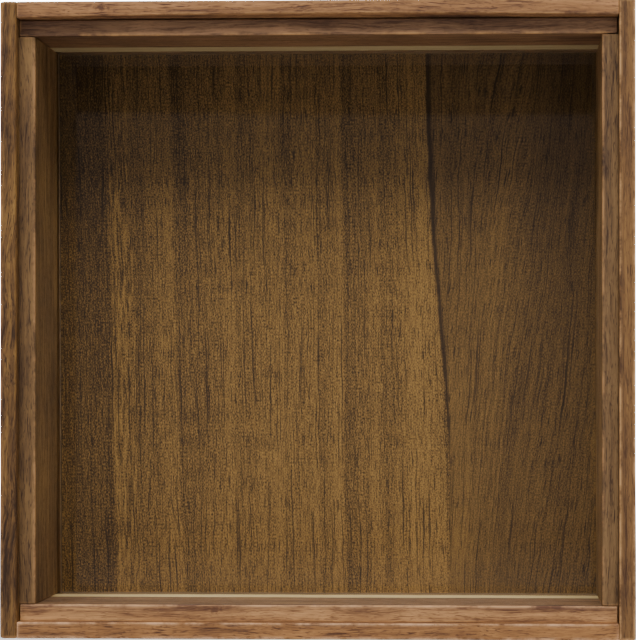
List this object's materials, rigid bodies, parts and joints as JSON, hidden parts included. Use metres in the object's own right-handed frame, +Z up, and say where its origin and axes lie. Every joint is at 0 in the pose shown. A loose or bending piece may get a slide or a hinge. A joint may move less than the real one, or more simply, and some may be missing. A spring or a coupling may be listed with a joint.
{
  "type": "shadow box",
  "caption": "Deep square wooden display box with a recessed liner, an inner glass pane held by pale strips and a veneered back panel held by turn buttons.",
  "frame": {"origin": "on the surface the box stands on, under the middle of its width and its depth, rear fittings included", "axes": "+Z up, the open front faces -Y, +X to the right as seen from the front"},
  "size_m": [0.23, 0.061, 0.231],
  "materials": {
    "case_wood": "oiled, satin",
    "liner_wood": "oiled, satin",
    "pale_wood": "bare, sanded",
    "glass": "clear, polished",
    "panel_veneer": "sealed, satin",
    "plywood": "bare, sanded",
    "brass": "brass-plated, brushed",
    "steel": "zinc-plated",
    "rubber": "matt"
  },
  "bodies": {
    "case": {"left_board": "case_wood", "right_board": "case_wood", "top_board": "case_wood", "bottom_board": "case_wood", "left_liner": "liner_wood", "right_liner": "liner_wood", "top_liner": "liner_wood", "bottom_liner": "liner_wood", "top_packing_strip": "pale_wood", "bottom_packing_strip": "pale_wood", "glass_pane": "glass", "back_panel": "plywood", "panel_veneer": "panel_veneer", "corner_brads": "steel", "button_screws": "brass", "sawtooth_hanger": "steel", "hanger_nails": "steel", "rear_bumpers": "rubber"},
    "lower_left_button": {"lower_left_button": "brass"},
    "upper_left_button": {"upper_left_button": "brass"},
    "lower_right_button": {"lower_right_button": "brass"},
    "upper_right_button": {"upper_right_button": "brass"}
  },
  "joints": [
    {"name": "lower_left_button_turn", "type": "hinge", "parent": "case", "child": "lower_left_button", "pos_m": [-0.1105, 0.0282, 0.06237], "axis": [0, 1, 0], "range_deg": [-90, 90]},
    {"name": "upper_left_button_turn", "type": "hinge", "parent": "case", "child": "upper_left_button", "pos_m": [-0.1105, 0.0282, 0.16863], "axis": [0, 1, 0], "range_deg": [-90, 90]},
    {"name": "lower_right_button_turn", "type": "hinge", "parent": "case", "child": "lower_right_button", "pos_m": [0.1105, 0.0282, 0.06237], "axis": [0, 1, 0], "range_deg": [-90, 90]},
    {"name": "upper_right_button_turn", "type": "hinge", "parent": "case", "child": "upper_right_button", "pos_m": [0.1105, 0.0282, 0.16863], "axis": [0, 1, 0], "range_deg": [-90, 90]}
  ]
}
